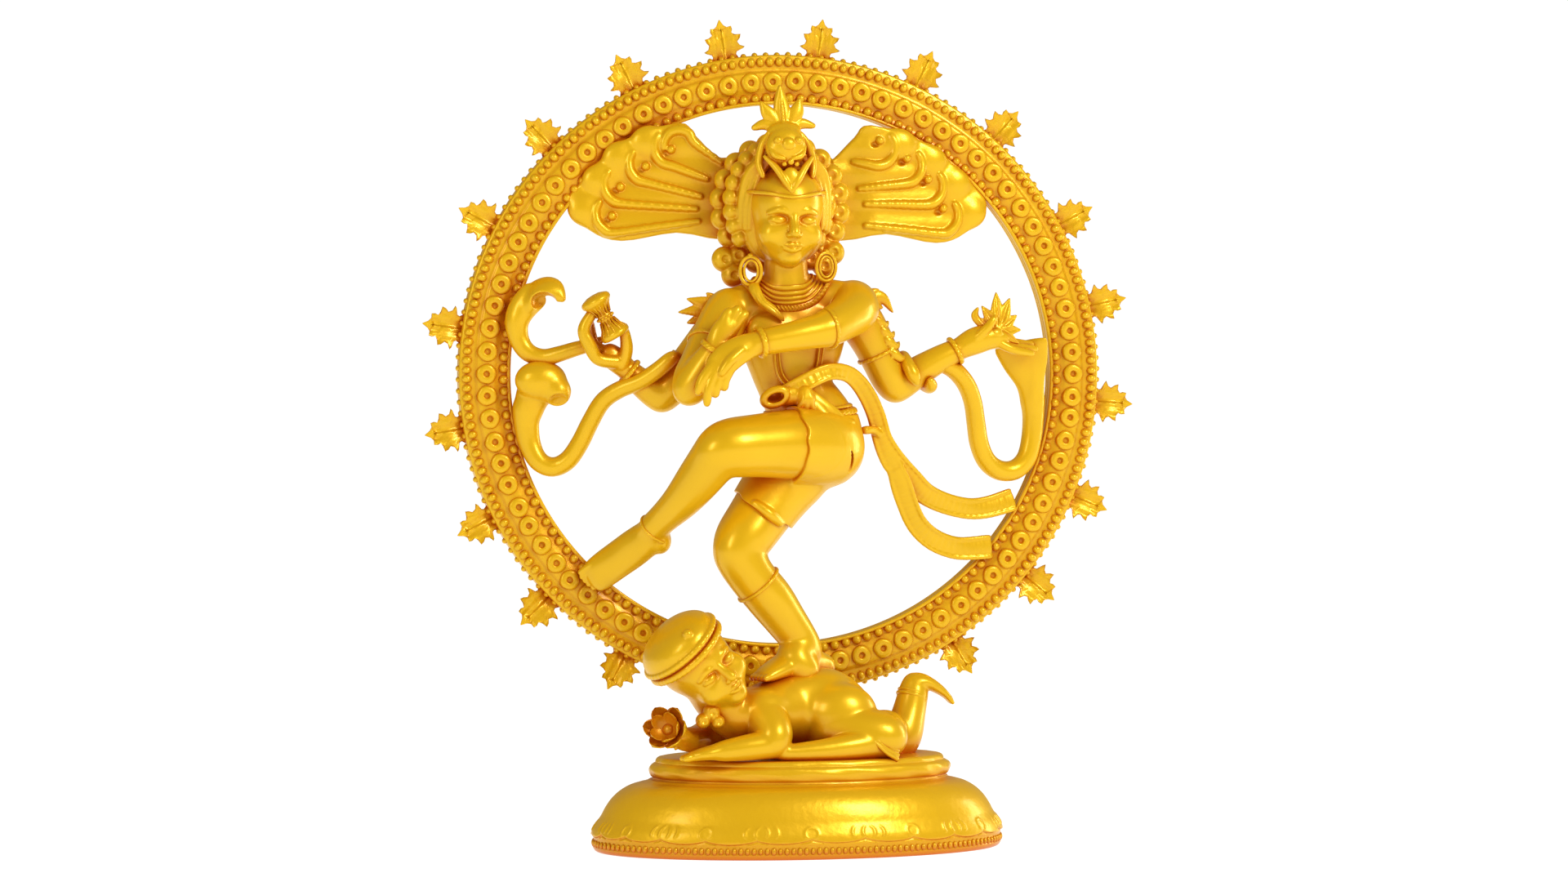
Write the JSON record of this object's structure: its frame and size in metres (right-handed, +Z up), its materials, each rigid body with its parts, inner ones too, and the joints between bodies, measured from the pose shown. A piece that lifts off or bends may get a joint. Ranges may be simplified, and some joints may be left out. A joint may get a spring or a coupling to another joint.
{
  "type": "brass dancing figure statue",
  "caption": "Cast brass statue of a four-armed dancer on a lying dwarf, inside a ring of flames, on a hollow oval pedestal; it stands free on the pedestal's rim.",
  "frame": {"origin": "centre of the oval pedestal's underside, on the plane it stands on", "axes": "+Z up; the figures face -Y; +X is the dancer's left, so the raised foot and the dwarf's head are on the -X side"},
  "size_m": [0.3532, 0.1116, 0.3991],
  "materials": {
    "pedestal_brass": "cast and polished, wire-brushed in the recesses",
    "ring_brass": "cast, with chased and polished beading",
    "figure_brass": "cast and smoothly polished",
    "ornament_brass": "cast and chased, darker in the cuts",
    "fastener_steel": "zinc-plated steel, hidden inside the pedestal"
  },
  "bodies": {
    "root": {"cobra_left": "figure_brass", "cobra_left_coil": "figure_brass", "cobra_lower_right": "figure_brass", "cobra_upper_right": "figure_brass", "dancer_armlets": "ornament_brass", "dancer_belly_strap": "ornament_brass", "dancer_belt_knot": "ornament_brass", "dancer_bracelets": "ornament_brass", "dancer_crown": "ornament_brass", "dancer_earrings": "ornament_brass", "dancer_garters": "ornament_brass", "dancer_girdle": "ornament_brass", "dancer_hair_cap": "ornament_brass", "dancer_hair_roundel": "ornament_brass", "dancer_head": "figure_brass", "dancer_headband": "ornament_brass", "dancer_necklace": "ornament_brass", "dancer_scarf": "ornament_brass", "dancer_shorts": "ornament_brass", "dancer_torso": "figure_brass", "deck_nuts": "fastener_steel", "deck_washers": "fastener_steel", "dwarf_anklet": "ornament_brass", "dwarf_body": "figure_brass", "dwarf_far_arm": "figure_brass", "dwarf_far_leg": "figure_brass", "dwarf_flower": "ornament_brass", "dwarf_head": "figure_brass", "dwarf_headdress": "ornament_brass", "dwarf_near_arm": "figure_brass", "dwarf_near_leg": "figure_brass", "dwarf_studs": "fastener_steel", "dwarf_waist_cloth": "ornament_brass", "front_left_arm": "figure_brass", "front_right_arm": "figure_brass", "hair_wing_left": "ornament_brass", "hair_wing_right": "ornament_brass", "hand_drum": "ornament_brass", "hand_flame": "ornament_brass", "pedestal_foot_beading": "pedestal_brass", "pedestal_lower_tier": "pedestal_brass", "pedestal_petal_band": "pedestal_brass", "pedestal_upper_tier": "pedestal_brass", "raised_leg": "figure_brass", "rear_left_arm": "figure_brass", "rear_right_arm": "figure_brass", "ring_body": "ring_brass", "ring_flames": "ring_brass", "ring_foot": "ring_brass", "ring_foot_screws": "fastener_steel", "ring_inner_beading": "ring_brass", "ring_outer_beading": "ring_brass", "ring_rim_points": "ring_brass", "ring_rosettes": "ring_brass", "sash": "figure_brass", "shoulder_ornaments": "ornament_brass", "standing_leg": "figure_brass"}
  },
  "joints": []
}
